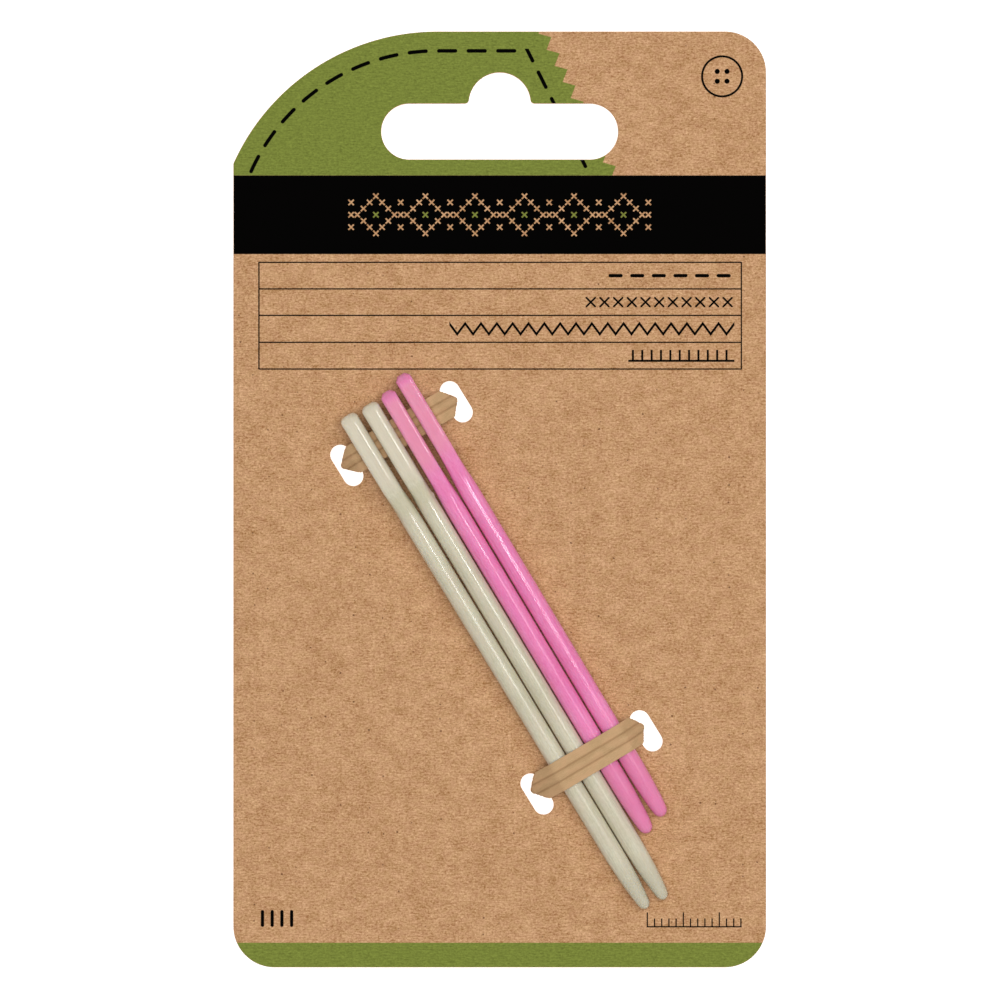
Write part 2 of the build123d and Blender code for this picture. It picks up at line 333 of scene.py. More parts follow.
def front_material():
    """Kraft board printed in green and black."""
    m, tree, shader = new_material("kraft_printed")
    x, y, z = coords_mm(tree)
    base, height = kraft(tree, x, y, z)
    rag = (cloud(tree, x * 7.0, y * 7.0, z, 1.0) - 0.5) * 0.10     # ink spreads unevenly
    k = 1 / light_level

    # green corner cloth with a pinked edge, and the strip along the bottom
    d_edge = (x - 6.0) * 0.8944 + (y - 65.0) * 0.4472
    along = (x - 6.0) * 0.4472 - (y - 65.0) * 0.8944
    tooth = abs((along.wrap(2.5) - 1.25)) * 1.1 - 0.69
    header = inside(45.0 - y + rag * 0.3, 0.06)
    cloth = both(inside(d_edge + tooth + rag, 0.06), header)
    strip = inside(y + 61.57 + rag, 0.06)

    # running stitch inside the cloth: along the curve, the top and the pinked edge
    px, py = x - curve_x, y - curve_y
    radius = (px * px + py * py).sqrt()
    angle = num(tree, "ARCTAN2", py, px)
    arc_len = angle * (curve_r - 2.7)
    dash_a = both(inside(capsule(arc_len.wrap(4.1) - 2.05, radius - (curve_r - 2.7), 1.15, 0.26), 0.05),
                  inside(x - curve_x), inside(45.1 - y))
    dash_b = both(inside(capsule((x + 9.347).wrap(4.1) - 2.05, y - 62.3, 1.15, 0.26), 0.05),
                  inside(curve_x - 0.5 - x), inside(d_edge + 4.4))
    dash_c = both(inside(capsule((along + 0.2).wrap(4.1) - 2.05, d_edge + 3.1, 1.15, 0.26), 0.05),
                  inside(y - 62.6), inside(45.1 - y))
    stitches = either(dash_a, dash_b, dash_c)

    # black band with a counted cross stitch border left in kraft and green
    band = inside(abs(y - 39.535) - 5.465 + rag * 0.5, 0.05)
    pitch = 0.86
    cu = x * (1 / pitch) + 24.5
    cv = (y - 39.535) * (1 / pitch) + 3.5
    col, row = cu.floor(), cv.floor()
    fx, fy = abs(cu - col - 0.5), abs(cv - row - 0.5)
    stitch = both(inside(abs(fx - fy) - 0.17, 0.06), inside(fx + fy - 0.86, 0.06))
    mx = abs(col.wrap(8.0) - 4.0)
    my = abs(row - 3.0)
    rim = inside(abs(mx + my - 3.0) - 0.5, 0.01)
    heart = inside(mx + my - 0.5, 0.01)
    join = both(inside(3.5 - mx, 0.01), inside(my - 0.5, 0.01))
    top_dots = both(inside(3.5 - mx, 0.01), inside(abs(my - 2.0) - 1.1 + 0.6, 0.01))
    field = both(inside(abs(col - 24.0) - 24.6, 0.01), inside(my - 3.5, 0.01))
    kraft_st = both(stitch, field, either(rim, join, top_dots))
    green_st = both(stitch, field, heart)

    # ruled box
    lines = None
    for ly in (32.93, 29.24, 25.56, 21.82, 18.11):
        line = inside(abs(y - ly) - 0.095 + rag * 0.25, 0.05)
        lines = line if lines is None else lines.high(line)
    lines = both(lines, inside(abs(x - 0.06) - 33.5, 0.04))
    sides = both(inside(abs(abs(x - 0.06) - 33.5) - 0.095 + rag * 0.25, 0.05), inside(abs(y - 25.52) - 7.48, 0.04))

    # a sampler of stitches at the right of each row
    def between(a, b):
        return both(inside(a - x, 0.02), inside(x - b, 0.02))

    run = both(inside(capsule((x - 14.6).wrap(3.0) - 1.5, y - 31.08, 0.75, 0.24), 0.05), between(14.6, 32.6))
    kx = abs((x - 11.7).wrap(1.9) - 0.95)
    ky = abs(y - 27.40)
    cross = both(inside(abs(kx - ky) - 0.19, 0.05), inside(kx.high(ky) - 0.72, 0.05), between(11.7, 32.6))
    zx = abs((x + 7.0).wrap(2.2) - 1.1) * 1.35 - 0.74
    zig = both(inside(abs(y - 23.69 - zx) - 0.27, 0.05), between(-7.0, 32.6))
    blanket = both(either(inside(abs(y - 19.25) - 0.15, 0.05),
                          both(inside(abs((x - 17.85).wrap(1.3) - 0.65) - 0.15, 0.05), inside(abs(y - 19.95) - 0.82, 0.05))),
                   between(17.85, 32.6))

    # button in the corner, tally strokes and a small rule at the bottom
    bx, by = x - 30.89, y - 58.76
    bd = (bx * bx + by * by).sqrt()
    qx, qy = abs(bx) - 0.68, abs(by) - 0.68
    button = either(inside(abs(bd - 2.78) - 0.15 + rag * 0.2, 0.05), inside((qx * qx + qy * qy).sqrt() - 0.36, 0.05))
    tally = both(inside(capsule(y + 58.2, (x + 33.4).wrap(1.35) - 0.45, 0.95, 0.23), 0.05),
                 inside(-33.4 - x, 0.02), inside(x + 28.2, 0.02))
    tick_x = abs((x - 20.5 + 0.5).wrap(1.0) - 0.5)
    big = inside(abs((x - 20.5 + 2.5).wrap(5.0) - 2.5) - 0.3, 0.01)
    tick = both(inside(tick_x - 0.09, 0.04), inside(y + 59.35 - 1.15 - big * 0.85, 0.04), inside(-59.42 - y, 0.04))
    rule = both(either(tick, inside(abs(y + 59.35) - 0.09, 0.04)), inside(20.4 - x, 0.04), inside(x - 33.6, 0.04))

    green = either(cloth, strip)
    black = either(both(band, 1.0 - either(kraft_st, green_st)), both(stitches, cloth),
                   lines, sides, run, cross, zig, blanket, button, tally, rule)
    green = either(green, both(green_st, band))

    grain = (height - 0.675)
    ink = scale_colour(tree, lin(121, 135, 56, k), 1.0 + grain * 1.5)
    colour = mix(tree, green * 0.97, base, ink)
    colour = mix(tree, black, colour, (0.0016, 0.0014, 0.0013, 1.0))
    wire(tree, colour, shader.inputs["Base Color"])
    wire(tree, 0.90 - green * 0.12 - black * 0.12 + grain * 0.1, shader.inputs["Roughness"])
    wire(tree, 0.16 - black * 0.15, shader.inputs["Specular IOR Level"])
    bump(tree, shader, height, 0.035, 0.7)
    return m


def plain_board_material(name="kraft_plain"):
    m, tree, shader = new_material(name)
    x, y, z = coords_mm(tree)
    base, height = kraft(tree, x + 200.0, y, z)
    wire(tree, base, shader.inputs["Base Color"])
    shader.inputs["Roughness"].default_value = 0.9
    shader.inputs["Specular IOR Level"].default_value = 0.2
    bump(tree, shader, height, 0.04, 0.8)
    return m


def board_edge_material():
    """Die-cut edge of the board, where its layers show."""
    m, tree, shader = new_material("kraft_cut_edge")
    x, y, z = coords_mm(tree)
    k = 1 / light_level
    layers = cloud(tree, x * 0.35, y * 0.35, z * 16.0, 2.0, 0.6)
    fibre = cloud(tree, x * 5.0, y * 5.0, z * 9.0, 2.0, 0.6)
    tone = num(tree, "ADD", 0.5 + (layers - 0.5) * 1.9 + (fibre - 0.5) * 0.9, 0.0, clamp=True)
    wire(tree, mix(tree, tone, lin(150, 106, 70, k), lin(222, 182, 146, k)), shader.inputs["Base Color"])
    shader.inputs["Roughness"].default_value = 0.95
    shader.inputs["Specular IOR Level"].default_value = 0.15
    bump(tree, shader, layers + fibre * 0.6, 0.06, 0.9)
    return m


# ---- card ---------------------------------------------------------------------------
def arc(cx, cy, r, a0, a1, n):
    return [(cx + r * math.cos(math.radians(a0 + (a1 - a0) * i / n)),
             cy + r * math.sin(math.radians(a0 + (a1 - a0) * i / n))) for i in range(n + 1)]


def tidy(points):
    out = []
    for p in points:
        if not out or math.dist(p, out[-1]) > 1e-4:
            out.append(p)
    if math.dist(out[0], out[-1]) < 1e-4:
        out.pop()
    return out


def card_outline():
    hw, hh = card_w / 2, card_h / 2
    low = curve_y + math.sqrt(curve_r ** 2 - (hw + curve_x) ** 2)
    end = math.degrees(math.atan2(low - curve_y, -hw - curve_x))
    return tidy(arc(hw - corner_r, -hh + corner_r, corner_r, 270, 360, 20)
                + arc(hw - corner_r, hh - corner_r, corner_r, 0, 90, 20)
                + arc(curve_x, curve_y, curve_r, 90, end, 48)
                + arc(-hw + corner_r, -hh + corner_r, corner_r, 180, 270, 20))


def slot_outline():
    """Hang slot with a round notch, fillets where they meet."""
    top, r = slot_y + slot_h / 2, slot_h / 2
    # fillet centre: slot_fillet above the slot's top edge, outside the notch
    cy = top + slot_fillet
    cx = math.sqrt((bump_r + slot_fillet) ** 2 - (cy - bump_y) ** 2)
    a = math.degrees(math.atan2(cy - bump_y, cx))
    half = slot_w / 2 - r
    right = arc(half, slot_y, r, -90, 90, 32) + arc(cx, cy, slot_fillet, 270, 180 + a, 8)
    notch = arc(0, bump_y, bump_r, a, 180 - a, 40)
    left = arc(-cx, cy, slot_fillet, -a, -90, 8) + arc(-half, slot_y, r, 90, 270, 32)
    return tidy(right + notch + left)


def stadium(cx, cy, length, width, angle):
    r, half = width / 2, (length - width) / 2
    pts = arc(half, 0, r, -90, 90, 24) + arc(-half, 0, r, 90, 270, 24)
    c, s = math.cos(angle), math.sin(angle)
    return tidy([(cx + c * x - s * y, cy + s * x + c * y) for x, y in pts])


def grown(points, d):
    """The closed line moved by d to its right-hand side, which is outward on a
    counterclockwise line."""
    out = []
    n = len(points)
    for i in range(n):
        a, b, c = Vector(points[i - 1]), Vector(points[i]), Vector(points[(i + 1) % n])
        n1, n2 = (b - a).normalized(), (c - b).normalized()
        n1, n2 = Vector((n1.y, -n1.x)), Vector((n2.y, -n2.x))
        m = (n1 + n2).normalized()
        out.append(tuple(b + m * (d / max(0.3, m.dot(n1)))))
    return out


def build_card():
    outer = card_outline()
    holes = [slot_outline()] + [stadium(*at(s, t), hole_len, hole_w, slope) for s, t in hole_centres]
    e, f = 0.07, 0.03          # the die rounds the face's edge more than the back's
    top, bottom = z_face, z_back
    steps = [(e, top)] + [(e * (1 - math.sin(a)), top - e * (1 - math.cos(a))) for a in (0.4, 0.8, 1.2)]
    steps += [(0.0, top - e), (0.0, (top + bottom) / 2), (0.0, bottom + f), (f * 0.3, bottom + f * 0.3), (f, bottom)]
    verts, faces, slots = [], [], []
    caps = {0: [], len(steps) - 1: []}
    for line, sign in [(outer, -1)] + [(h, 1) for h in holes]:
        n = len(line)
        rings = []
        for k, (inset, z) in enumerate(steps):
            start = len(verts)
            verts += [(px, py, z) for px, py in grown(line, sign * inset)]
            rings.append(start)
            if k in caps:
                caps[k].append((start, n))
        for k in range(len(steps) - 1):
            a, b = rings[k], rings[k + 1]
            for i in range(n):
                j = (i + 1) % n
                quad = (a + i, b + i, b + j, a + j)
                faces.append(quad if sign < 0 else quad[::-1])
                slots.append(2 if 1 <= k else 0)
    for k, loops in caps.items():
        index = [i for start, n in loops for i in range(start, start + n)]
        tris = tessellate_polygon([[Vector((verts[i][0], verts[i][1], 0)) for i in range(s, s + n)] for s, n in loops])
        for tri in tris:
            p = [index[i] for i in tri]
            area = ((verts[p[1]][0] - verts[p[0]][0]) * (verts[p[2]][1] - verts[p[0]][1])
                    - (verts[p[2]][0] - verts[p[0]][0]) * (verts[p[1]][1] - verts[p[0]][1]))
            if (area > 0) != (k == 0):
                p = p[::-1]
            faces.append(tuple(p))
            slots.append(0 if k == 0 else 1)
    mesh = bpy.data.meshes.new("card_board")
    mesh.from_pydata([(a * MM, b * MM, c * MM) for a, b, c in verts], [], faces)
    for i, p in enumerate(mesh.polygons):
        p.use_smooth = len(p.vertices) == 4
        p.material_index = slots[i]
    for m in (front_material(), plain_board_material(), board_edge_material()):
        mesh.materials.append(m)
    mesh.update()
    o = bpy.data.objects.new("card_board", mesh)
    scene.collection.objects.link(o)
    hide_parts("backing_card")
    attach(o, "card")
    return o


build_card()


# ---- needles ---------------------------------------------------------------------------
def plastic(name, dark, mid, light, warm, zones, rough, sss, sss_radius, streak):
    """Moulded plastic with faint flow lines along its length. Zones are colours
    that take over along the needle: from, full from, full to, to, share, colour."""
    m, tree, shader = new_material(name)
    x, y, z = coords_mm(tree)
    patch = cloud(tree, x * 0.16, y * 0.55, z * 0.55, 3.0, 0.6, 0.4)
    flow = cloud(tree, x * 0.10, y * 3.2, z * 3.2, 3.0, 0.55, 0.2)
    hair = cloud(tree, x * 0.35, y * 9.0, z * 9.0, 2.0, 0.6)
    grit = cloud(tree, x * 2.2, y * 5.0, z * 5.0, 2.0, 0.6)
    cast = cloud(tree, x * 0.33 + 31.0, y * 0.9, z * 0.9, 2.0, 0.5)
    tone = num(tree, "ADD", 0.5 + (patch - 0.5) * 0.9 + (flow - 0.5) * streak + (hair - 0.5) * streak * 0.6
               + (grit - 0.5) * 1.0, 0.0, clamp=True)
    colour = mix(tree, tone, dark, light)
    colour = mix(tree, 0.20, colour, mid)
    colour = mix(tree, ramp(cast, 0.42, 0.66) * 0.40, colour, warm)
    for a, b, c, d, share, tint in zones:
        mask = both(ramp(x, a, b), 1.0 - ramp(x, c, d))
        colour = mix(tree, mask * share, colour, tint)
    wire(tree, colour, shader.inputs["Base Color"])
    wire(tree, rough + (flow - 0.5) * 0.22 + (patch - 0.5) * 0.08, shader.inputs["Roughness"])
    shader.inputs["Subsurface Weight"].default_value = sss
    shader.inputs["Subsurface Radius"].default_value = sss_radius
    shader.inputs["Subsurface Scale"].default_value = 0.001
    shader.inputs["IOR"].default_value = 1.5
    bump(tree, shader, flow * 0.6 + hair * 0.35 + patch * 0.8 + grit * 0.15, 0.03, 0.55)
    return m


kk = 1 / light_level
# Cream zones: a lighter head, a darker band from 12.6 to 17 mm where the head slopes down into the shaft (this band is
# painted shade), and a darker tip.
cream = plastic("cream_plastic", lin(195, 189, 162, kk), lin(217, 210, 184, kk), lin(233, 227, 205, kk), lin(222, 208, 188, kk),
                [(-9.0, -8.0, 10.5, 13.0, 0.6, lin(226, 215, 194, kk)), (12.6, 13.6, 15.4, 17.0, 0.5, lin(203, 196, 166, kk)),
                 (71.0, 77.5, 90.0, 91.0, 0.75, lin(201, 194, 171, kk))],
                0.19, 0.25, (0.9, 0.7, 0.45), 1.35)
# Pink zones: the lighter salmon head is painted show-through of the tan tie inside the thin plastic; also a purplish
# end and a duller tip.
pink = plastic("pink_plastic", lin(233, 117, 173, kk), lin(244, 143, 191, kk), lin(254, 166, 211, kk), lin(243, 139, 196, kk),
               [(0.8, 2.2, 10.5, 14.0, 0.70, lin(241, 160, 181, kk)), (-9.0, -8.0, 0.5, 1.8, 0.75, lin(226, 136, 175, kk)),
                (58.0, 62.0, 90.0, 91.0, 0.60, lin(231, 139, 175, kk))],
               0.17, 0.45, (1.3, 0.5, 0.75), 1.3)


def plate_ring(hp, hh, r_right, r_left):
    """Points of a rounded rectangle from the middle of its top, by way of the +p
    side, with the same number of points on every ring."""
    nt, nc, ns = 6, 8, 10

    def quad(rc):
        q = [((hp - rc) * i / nt, hh) for i in range(nt)]
        q += [(hp - rc + rc * math.sin(math.pi / 2 * i / nc), hh - rc + rc * math.cos(math.pi / 2 * i / nc)) for i in range(nc)]
        return q + [(hp, (hh - rc) * (1 - i / ns)) for i in range(ns)]

    right, left = quad(r_right), quad(r_left)
    q4 = [(hp, 0.0)] + [(p, -h) for p, h in right[:0:-1]]
    q3 = [(-p, -h) for p, h in left]
    q2 = [(-hp, 0.0)] + [(-p, h) for p, h in left[:0:-1]]
    return right + q4 + q3 + q2


def round_ring(n, r):
    return [(r * math.sin(2 * math.pi * i / n), r * math.cos(2 * math.pi * i / n)) for i in range(n)]


def pick(ring, q):
    """Point of a closed ring at a whole or fractional index."""
    i = int(math.floor(q))
    f = q - i
    a, b = ring[i % len(ring)], ring[(i + 1) % len(ring)]
    return (a[0] * (1 - f) + b[0] * f, a[1] * (1 - f) + b[1] * f)


def along_list(points, x):
    """Smooth value at x of a list of (x, value)."""
    if x <= points[0][0]:
        return points[0][1]
    for (a, va), (b, vb) in zip(points[:-1], points[1:]):
        if x <= b:
            return va + (vb - va) * smoothstep((x - a) / (b - a))
    return points[-1][1]


def curve_through(points, x):
    """Smooth, monotone value at x of a falling line of points."""
    xs = [p[0] for p in points]
    ys = [p[1] for p in points]
    if x <= xs[0]:
        return ys[0]
    d = [(ys[i + 1] - ys[i]) / (xs[i + 1] - xs[i]) for i in range(len(xs) - 1)]
    m = [0.0] + [2 * d[i - 1] * d[i] / (d[i - 1] + d[i]) if d[i - 1] * d[i] > 0 else 0.0 for i in range(1, len(d))] + [d[-1] * 1.25]
    for i in range(len(d)):
        if x <= xs[i + 1]:
            h = xs[i + 1] - xs[i]
            t = (x - xs[i]) / h
            return ((2 * t ** 3 - 3 * t ** 2 + 1) * ys[i] + (t ** 3 - 2 * t ** 2 + t) * h * m[i]
                    + (-2 * t ** 3 + 3 * t ** 2) * ys[i + 1] + (t ** 3 - t ** 2) * h * m[i + 1])
    return ys[-1]


def needle_stations(spec):
    L, tf = spec["length"], spec["taper_from"]
    xs = [spec["end_r"] * (1 - math.cos(math.pi / 2 * i / 16)) for i in range(17)]
    xs += [0.06, 0.16, 0.30, 0.45]
    xs += list(np.arange(xs[16] + 0.35, 11.0, 0.42))
    xs += list(np.arange(11.0, 20.6, 0.24))
    xs += list(np.arange(20.8, tf - 0.5, 1.15))
    xs += list(np.arange(tf, L - spec["cap"], 0.32))
    xs += [L - spec["cap"] + spec["cap"] * math.sin(math.pi / 2 * i / 12) for i in range(12)]
    out = []
    for x in sorted(xs):
        if not out or x - out[-1] > 0.02:
            out.append(float(x))
    return out


def needle_section(spec, x, seed, params, ridge, fine, sway):
    hh_full, hp_full = spec["head_h"] / 2, spec["head_w"] / 2
    er, pr = spec["end_r"], spec["plan_r"]
    radius = spec["radius"]
    if x < 20.6:
        hh = hh_full if x >= er else hh_full - er + math.sqrt(max(0.0, er * er - (er - x) ** 2))
        if x > er:
            u = x - paddle_flat
            hh = hh_full - (hh_full - 0.75) / 8.5 * 0.5 * (u + math.sqrt(u * u + 0.5))
            hh = max(hh, 0.75)
        if x >= pr:
            hp = hp_full
        elif spec["chamfer"]:
            hp = hp_full - pr + x * 0.92 + 0.05 * (1 - x / pr)
        else:
            hp = hp_full - pr + math.sqrt(max(0.0, pr * pr - (pr - x) ** 2))
        top = 0.94 * min(hp, hh)
        ring = plate_ring(hp, hh, min(spec["r_right"], top), min(spec["r_left"], top))
        a, b = spec["blend"]
        k = smoothstep((x - a) / (b - a))
        if k > 0:
            circ = round_ring(len(ring), radius)
            ring = [(p * (1 - k) + c * k, h * (1 - k) + d * k) for (p, h), (c, d) in zip(ring, circ)]
    else:
        k = 1.0
        start = spec["length"] - spec["cap"]
        if x <= start:
            r = curve_through(spec["tip"], x)
        else:
            t = (x - start) / spec["cap"]
            r = (spec["tip"][-1][1] - 0.13 * (x - start)) * math.sqrt(max(0.0, 1 - t * t))
        ring = round_ring(96, r)
    # slow drift of the moulded surface and a fine parting line
    here = fine * 0.020 * (0.45 + 0.55 * k) * smoothstep(x / 1.2) * (1 - smoothstep((x - spec["length"] + 4.0) / 3.0))
    shift = along_list(sway, x)
    out = []
    for q in params:
        p, h = pick(ring, q)
        a = 2 * math.pi * q / 96
        g = noise.noise(Vector((x * 0.22, math.cos(a) * 1.3, math.sin(a) * 1.3 + seed)))
        size = math.hypot(p, h)
        f = 1 - 0.010 * (0.5 + 0.5 * g)
        if size > 0.3:
            top = math.exp(-((q - ridge + 48) % 96 - 48) ** 2 / 0.8)
            under = math.exp(-((q - ridge) % 96 - 48) ** 2 / 0.8)
            f += here * (top + 0.6 * under) * 1.5 / size
        out.append((p * f + shift, h * f))
    return out


def needle_frame(place, spec):
    s0, t0, drift = place
    reach = spec["reach"]
    tilt = math.atan((reach - spec["radius"]) / (spec["taper_from"] - paddle_flat))
    n = math.hypot(1, drift)
    dx, dy = (ux + drift * vx) / n, (uy + drift * vy) / n
    along = Vector((dx * math.cos(tilt), dy * math.cos(tilt), -math.sin(tilt)))
    up = Vector((dx * math.sin(tilt), dy * math.sin(tilt), math.cos(tilt)))
    side = up.cross(along)
    x0, y0 = at(s0, t0)
    z0 = z_face + rest_gap + reach * math.cos(tilt) + paddle_flat * math.sin(tilt)
    m = Matrix((along, side, up)).transposed().to_4x4()
    m.translation = Vector((x0, y0, z0)) * MM
    return m


def eye_cutter(spec):
    a, b, h = spec["eye"]
    r = h / 2
    hp = spec["head_w"] / 2
    rim = 0.32
    levels = []
    for i in range(8):
        t = math.radians(80) * i / 7
        levels.append((hp - rim + rim * math.sin(t), rim * (1 - math.cos(t))))
    levels.append((hp + 0.3, levels[-1][1] + 0.3 * math.tan(math.radians(78))* 0.5))
    stack = [(-p, g) for p, g in levels[::-1]] + levels
    n_arc, n_line = 20, 20
    verts, faces = [], []
    ring_n = None
    for p, g in stack:
        rr = r + g
        pts = [(b - r + rr * math.sin(math.pi * i / n_arc), rr * math.cos(math.pi * i / n_arc)) for i in range(n_arc + 1)]
        pts += [(b - r + (a + r - (b - r)) * i / n_line, -rr) for i in range(1, n_line)]
        pts += [(a + r - rr * math.sin(math.pi * i / n_arc), -rr * math.cos(math.pi * i / n_arc)) for i in range(n_arc + 1)]
        pts += [(a + r + (b - r - (a + r)) * i / n_line, rr) for i in range(1, n_line)]
        ring_n = len(pts)
        for x, z in pts:
            verts.append((x * MM, p * MM, z * MM))
    for k in range(len(stack) - 1):
        for i in range(ring_n):
            j = (i + 1) % ring_n
            faces.append((k * ring_n + i, k * ring_n + j, (k + 1) * ring_n + j, (k + 1) * ring_n + i))
    faces.append(tuple(range(ring_n))[::-1])
    faces.append(tuple((len(stack) - 1) * ring_n + i for i in range(ring_n)))
    mesh = bpy.data.meshes.new("eye_cutter")
    mesh.from_pydata(verts, [], faces)
    return mesh


def outward(mesh):
    """Turns every face of a closed mesh outward."""
    import bmesh
    bm = bmesh.new()
    bm.from_mesh(mesh)
    bmesh.ops.recalc_face_normals(bm, faces=bm.faces)
    bm.to_mesh(mesh)
    bm.free()


def build_needle(name, node, body, place, spec, material, seed, ridge, fine, sway, gate=None):
    xs = needle_stations(spec)
    verts, faces = [], []
    extra = [ridge + side + k * 0.45 for side in (0, 48) for k in (-3, -2, -1, 0, 1, 2, 3)]
    params = sorted(q % 96 for q in [i for i in range(96) if min(abs(i - e) for e in extra) > 0.2] + extra)
    n = len(params)
    for x in xs:
        for q, (p, h) in zip(params, needle_section(spec, x, seed, params, ridge, fine, sway)):
            if gate:
                gx, ga, gh = gate
                away = (q * 3.75 - ga + 180) % 360 - 180
                lift = gh * math.exp(-((x - gx) / 0.30) ** 2 - (away / 13) ** 2)
                size = math.hypot(p, h)
                p, h = p * (1 + lift / max(size, 0.2)), h * (1 + lift / max(size, 0.2))
            verts.append((x * MM, p * MM, h * MM))
    for k in range(len(xs) - 1):
        for i in range(n):
            j = (i + 1) % n
            faces.append((k * n + i, k * n + j, (k + 1) * n + j, (k + 1) * n + i))
    first, last = len(verts), len(verts) + 1
    verts.append((0.0, 0.0, 0.0))
    verts.append((spec["length"] * MM, 0.0, 0.0))
    for i in range(n):
        j = (i + 1) % n
        faces.append((first, j, i))
        faces.append((last, (len(xs) - 1) * n + i, (len(xs) - 1) * n + j))
    mesh = bpy.data.meshes.new(name)
    mesh.from_pydata(verts, [], faces)
    outward(mesh)
    o = bpy.data.objects.new(name, mesh)
    scene.collection.objects.link(o)
    cutter_mesh = eye_cutter(spec)
    outward(cutter_mesh)
    cutter = bpy.data.objects.new("cutter", cutter_mesh)
    scene.collection.objects.link(cutter)
    mod = o.modifiers.new("eye", "BOOLEAN")
    mod.operation, mod.solver, mod.object = "DIFFERENCE", "EXACT", cutter
    dg = bpy.context.evaluated_depsgraph_get()
    cut = bpy.data.meshes.new_from_object(o.evaluated_get(dg))
    o.modifiers.clear()
    o.data = cut
    cut.name = name
    bpy.data.objects.remove(cutter)
    bpy.data.meshes.remove(mesh)
    import bmesh
    bm = bmesh.new()
    bm.from_mesh(cut)
    bmesh.ops.remove_doubles(bm, verts=bm.verts, dist=2e-7)
    bmesh.ops.dissolve_degenerate(bm, edges=bm.edges, dist=2e-7)
    bm.to_mesh(cut)
    bm.free()
    for p in cut.polygons:
        p.use_smooth = True
    cut.set_sharp_from_angle(angle=math.radians(38))
    cut.materials.clear()
    cut.materials.append(material)
    o.matrix_world = needle_frame(place, spec)
    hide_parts(node)
    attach(o, body)
    return o


build_needle("needle_large_left", "large_needle_left", "large_left",
             (0.139, 0.659, -0.0063), large, cream, 1.0, 5.9, 1.0,
             [(12.0, -0.05), (16.0, 0.08), (45.0, 0.08), (62.0, 0.0)])
build_needle("needle_large_right", "large_needle_right", "large_right",
             (0.382, 3.912, -0.0117), large, cream, 5.0, 2.4, 0.12, [(0.0, 0.0), (1.0, 0.0)], gate=(15.3, 78, 0.15))
build_needle("needle_small_left", "small_needle_left", "small_left",
             (0.174, 6.970, -0.0148), small, pink, 9.0, 4.2, 0.12,
             [(0.0, -0.03), (15.0, -0.06), (45.0, -0.03), (58.0, 0.0)])
build_needle("needle_small_right", "small_needle_right", "small_right",
             (-0.750, 9.900, -0.0148), small, pink, 13.0, 0.2, 0.8,
             [(11.0, 0.03), (16.0, -0.06), (50.0, -0.03), (60.0, 0.0)])


# ---- ties -------------------------------------------------------------------------------
def paper_material():
    """Tan paper strip over a wire, with creases beside the wire; painted shade darkens the creases and the wrinkles
    where the strip gathers.
    """
    m, tree, shader = new_material("tie_paper")
    a = tree.nodes.new("ShaderNodeAttribute")
    a.attribute_type = "GEOMETRY"
    a.attribute_name = "strip"
    s, w, g = split(tree, a.outputs["Vector"])
    k = 1 / light_level
    grain = cloud(tree, s * 1.0, w * 7.5, g * 3.0, 3.0, 0.6)
    fine = cloud(tree, s * 5.0, w * 8.5 + 40.0, g * 2.0, 2.0, 0.6)
    soft = cloud(tree, s * 0.35, w * 0.8 + 12.0, g, 2.0, 0.5)
    tone = num(tree, "ADD", 0.5 + (grain - 0.5) * 0.7 + (fine - 0.5) * 0.6 + (soft - 0.5) * 0.7, 0.0, clamp=True)
    base = mix(tree, tone, lin(176, 140, 98, k), lin(222, 186, 142, k))
    base = mix(tree, ramp(soft, 0.45, 0.6) * 0.35, base, lin(206, 160, 120, k))
    off = abs(abs(w) - 0.70)
    # painted shade: the colour darkens along the creases beside the wire; the same mask also dents the bump
    crease_dent_and_shade = 1.0 - ramp(off, 0.02, 0.22)
    base = mix(tree, crease_dent_and_shade * 0.42, base, lin(140, 104, 66, k))
    # painted shade: wrinkles where the strip gathers round the wire are darkened in the colour; the same mask also
    # dents the bump
    wrinkle_dent_and_shade = ramp(cloud(tree, s * 2.2, w * 2.6, g * 2.0, 2.0, 0.7, 0.8), 0.55, 0.68) * ramp(g, 0.35, 1.0)
    base = mix(tree, wrinkle_dent_and_shade * 0.30, base, lin(140, 104, 68, k))
    wire(tree, base, shader.inputs["Base Color"])
    wire(tree, 0.62 + (grain - 0.5) * 0.3, shader.inputs["Roughness"])
    shader.inputs["Specular IOR Level"].default_value = 0.3
    bump(tree, shader, grain * 0.5 + fine * 0.5 - crease_dent_and_shade * 0.6 - wrinkle_dent_and_shade * 0.8, 0.04, 0.7)
    return m


def steel_material():
    """Soft drawn wire."""
    m, tree, shader = new_material("tie_wire_steel")
    x, y, z = coords_mm(tree)
    draw = cloud(tree, x * 9.0, y * 9.0, z * 9.0, 2.0, 0.6)
    wire(tree, mix(tree, draw, (0.34, 0.34, 0.35, 1), (0.62, 0.62, 0.63, 1)), shader.inputs["Base Color"])
    shader.inputs["Metallic"].default_value = 1.0
    wire(tree, 0.30 + draw * 0.25, shader.inputs["Roughness"])
    bump(tree, shader, draw, 0.01, 0.5)
    return m


